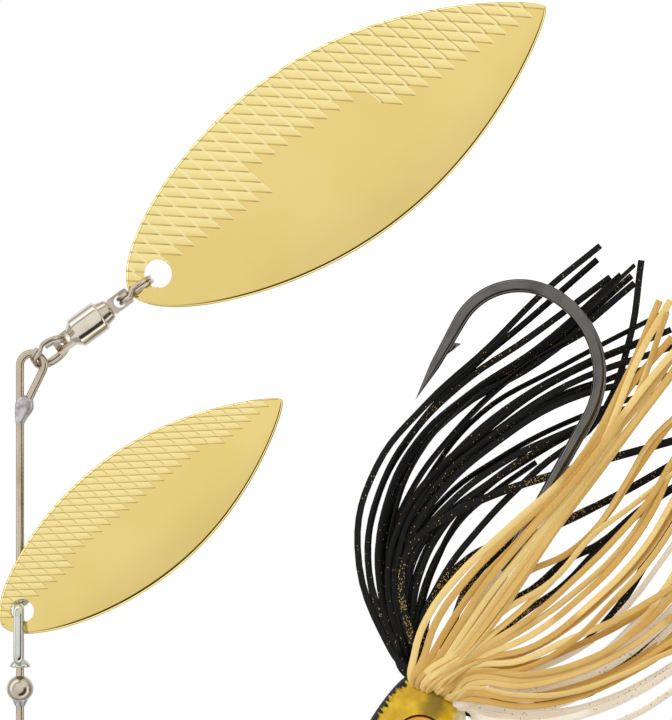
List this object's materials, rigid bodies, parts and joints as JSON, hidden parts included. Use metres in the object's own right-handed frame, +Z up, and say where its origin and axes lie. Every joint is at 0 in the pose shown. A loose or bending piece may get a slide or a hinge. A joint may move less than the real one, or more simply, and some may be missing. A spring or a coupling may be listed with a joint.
{
  "type": "spinnerbait",
  "caption": "Fishing lure with a bent wire frame, fish-shaped head on a hook, silicone skirt, and willow-leaf blades on a clevis and a ball-bearing swivel.",
  "frame": {"origin": "centre of the line tie's bend", "axes": "+Z up against gravity with the lure hanging from its line tie, +X towards the blades, the lure's flat plane is XZ and its front face looks along -Y"},
  "size_m": [0.0968, 0.0138, 0.1318],
  "materials": {
    "wire": "bright drawn stainless wire",
    "solder": "dull grey tin solder",
    "nickel": "bright nickel plate",
    "gold_plate": "polished gold plate, the outer half embossed with scales",
    "black_nickel": "satin black nickel",
    "paint": "glossy airbrushed paint over cast lead, dark back, gold sides, pearl belly",
    "eye": "clear domed plastic over an amber iris and a black pupil",
    "collar_rubber": "matte",
    "black_silicone": "soft silicone with gold flakes",
    "tan_silicone": "translucent silicone",
    "clear_silicone": "translucent silicone with dark flakes"
  },
  "bodies": {
    "frame": {"wire_frame": "wire", "loop_solder": "solder", "bead": "nickel", "bead_solder": "solder", "head": "paint", "left_eye": "eye", "right_eye": "eye", "hook": "black_nickel", "skirt_collar": "collar_rubber", "skirt_black": "black_silicone", "skirt_tan": "tan_silicone", "skirt_clear": "clear_silicone"},
    "inner_ring": {"inner_split_ring": "nickel"},
    "swivel_body": {"swivel_housing": "nickel", "swivel_cap": "nickel"},
    "swivel_post": {"swivel_stem": "nickel"},
    "ball_race": {"swivel_balls": "nickel"},
    "outer_ring": {"outer_split_ring": "nickel"},
    "big_blade": {"big_blade": "gold_plate"},
    "clevis": {"clevis": "nickel"},
    "small_blade": {"small_blade": "gold_plate"}
  },
  "joints": [
    {"name": "inner_ring_swing", "type": "hinge", "parent": "frame", "child": "inner_ring", "pos_m": [0.06295, 0, -0.0464], "axis": [0, -1, 0], "range_deg": [-12, 60]},
    {"name": "swivel_swing", "type": "hinge", "parent": "inner_ring", "child": "swivel_body", "pos_m": [0.0629, 0, -0.04934], "axis": [0.9062, 0.4226, -0.0158], "range_deg": [-60, 60]},
    {"name": "swivel_spin", "type": "hinge", "parent": "swivel_body", "child": "swivel_post", "pos_m": [0.06279, 0, -0.05552], "axis": [-0.0175, 0, -0.9998], "continuous": true},
    {"name": "ball_race_roll", "type": "hinge", "parent": "swivel_body", "child": "ball_race", "pos_m": [0.06279, 0, -0.05552], "axis": [-0.0175, 0, -0.9998], "continuous": true},
    {"name": "outer_ring_swing", "type": "hinge", "parent": "swivel_post", "child": "outer_ring", "pos_m": [0.0627, 0, -0.06067], "axis": [0, -1, 0], "range_deg": [-15, 30]},
    {"name": "big_blade_swing", "type": "hinge", "parent": "outer_ring", "child": "big_blade", "pos_m": [0.06266, 0, -0.06317], "axis": [-0.9998, 0, 0.0175], "range_deg": [-15, 60]},
    {"name": "clevis_spin", "type": "hinge", "parent": "frame", "child": "clevis", "pos_m": [0.03874, 0, -0.02619], "axis": [0.7986, 0, -0.6018], "continuous": true},
    {"name": "small_blade_swing", "type": "hinge", "parent": "clevis", "child": "small_blade", "pos_m": [0.03874, 0, -0.02619], "axis": [0, -1, 0], "range_deg": [-50, 15]}
  ],
  "couplings": [
    {"joint": "ball_race_roll", "follows": "swivel_spin", "ratio": 0.5}
  ]
}
